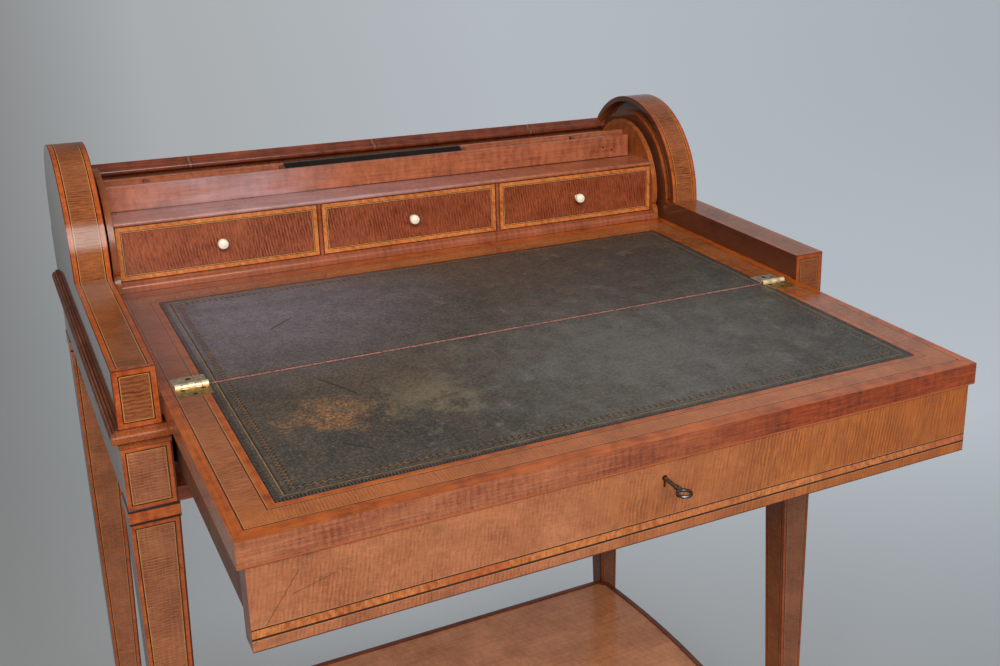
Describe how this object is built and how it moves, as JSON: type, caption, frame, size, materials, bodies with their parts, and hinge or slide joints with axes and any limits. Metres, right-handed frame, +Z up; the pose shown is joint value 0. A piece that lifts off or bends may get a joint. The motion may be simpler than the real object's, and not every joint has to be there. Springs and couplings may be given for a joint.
{
  "type": "cylinder desk",
  "caption": "Small cylinder desk on tapered legs with undershelf, shown open: leather flap folded forward on the pulled-out drawer, fitted nest of drawers.",
  "frame": {"origin": "on the floor, under the middle of the desk's bounding box with the desk open as pictured", "axes": "+X to the desk's right as its user sees it, +Y from the user to the back, +Z up"},
  "size_m": [0.692, 0.7616, 0.889],
  "materials": {
    "satinwood": "french polished, cross banded and strung",
    "mahogany": "french polished",
    "oak": "waxed, unstained",
    "leather": "worn, tooled border",
    "brass": "tarnished",
    "steel": "darkened",
    "bone": "turned bone"
  },
  "bodies": {
    "carcass": {"leg_front_left": "satinwood", "leg_front_right": "satinwood", "leg_rear_left": "satinwood", "leg_rear_right": "satinwood", "apron_left": "mahogany", "apron_right": "mahogany", "back_panel": "mahogany", "carcass_bottom": "oak", "front_rail": "mahogany", "drawer_runner_left": "oak", "drawer_runner_right": "oak", "waist_moulding_left": "mahogany", "waist_moulding_right": "mahogany", "undershelf": "satinwood", "undershelf_bead": "mahogany", "cheek_left": "satinwood", "cheek_right": "satinwood", "bed_board": "mahogany", "bed_leather": "leather", "hinge_bed_leaves": "brass", "hinge_pins": "steel", "hinge_bed_screws": "brass", "nest_end_left": "oak", "nest_end_right": "oak", "nest_base": "mahogany", "nest_top": "mahogany", "nest_back": "oak", "nest_partitions": "mahogany", "rack_front": "mahogany", "rack_back": "mahogany", "rack_dividers": "mahogany"},
    "flap": {"flap_board": "mahogany", "flap_leather": "leather", "hinge_flap_leaves": "brass", "hinge_flap_screws": "brass"},
    "drawer": {"drawer_front": "satinwood", "drawer_side_left": "oak", "drawer_side_right": "oak", "drawer_back": "oak", "drawer_bottom": "oak", "lock_case": "brass"},
    "key": {"key": "steel"},
    "bolt": {"lock_bolt": "brass"},
    "cylinder": {"cylinder_shell": "satinwood", "cylinder_nosing": "mahogany"},
    "small_drawer_left": {"small_drawer_left_front": "satinwood", "small_drawer_left_sides": "oak", "small_drawer_left_back": "oak", "small_drawer_left_bottom": "oak", "small_drawer_left_knob": "bone"},
    "small_drawer_middle": {"small_drawer_middle_front": "satinwood", "small_drawer_middle_sides": "oak", "small_drawer_middle_back": "oak", "small_drawer_middle_bottom": "oak", "small_drawer_middle_knob": "bone"},
    "small_drawer_right": {"small_drawer_right_front": "satinwood", "small_drawer_right_sides": "oak", "small_drawer_right_back": "oak", "small_drawer_right_bottom": "oak", "small_drawer_right_knob": "bone"}
  },
  "joints": [
    {"name": "drawer_slide", "type": "slide", "parent": "carcass", "child": "drawer", "axis": [0, -1, 0], "range_m": [-0.2569, 0]},
    {"name": "flap_fold", "type": "hinge", "parent": "carcass", "child": "flap", "pos_m": [0, -0.08455, 0.7555], "axis": [1, 0, 0], "range_deg": [-180, 0]},
    {"name": "cylinder_turn", "type": "hinge", "parent": "carcass", "child": "cylinder", "pos_m": [0, 0.26345, 0.78], "axis": [-1, 0, 0], "range_deg": [-138, 0]},
    {"name": "key_turn", "type": "hinge", "parent": "drawer", "child": "key", "pos_m": [0, -0.34645, 0.7221], "axis": [0, 1, 0], "range_deg": [0, 180]},
    {"name": "bolt_throw", "type": "slide", "parent": "drawer", "child": "bolt", "axis": [0, 0, 1], "range_m": [0, 0.005]},
    {"name": "small_drawer_left_slide", "type": "slide", "parent": "carcass", "child": "small_drawer_left", "axis": [0, -1, 0], "range_m": [0, 0.105]},
    {"name": "small_drawer_middle_slide", "type": "slide", "parent": "carcass", "child": "small_drawer_middle", "axis": [0, -1, 0], "range_m": [0, 0.105]},
    {"name": "small_drawer_right_slide", "type": "slide", "parent": "carcass", "child": "small_drawer_right", "axis": [0, -1, 0], "range_m": [0, 0.105]}
  ],
  "couplings": [
    {"joint": "key_turn", "follows": "bolt_throw", "rad_per_m": 628.3}
  ]
}
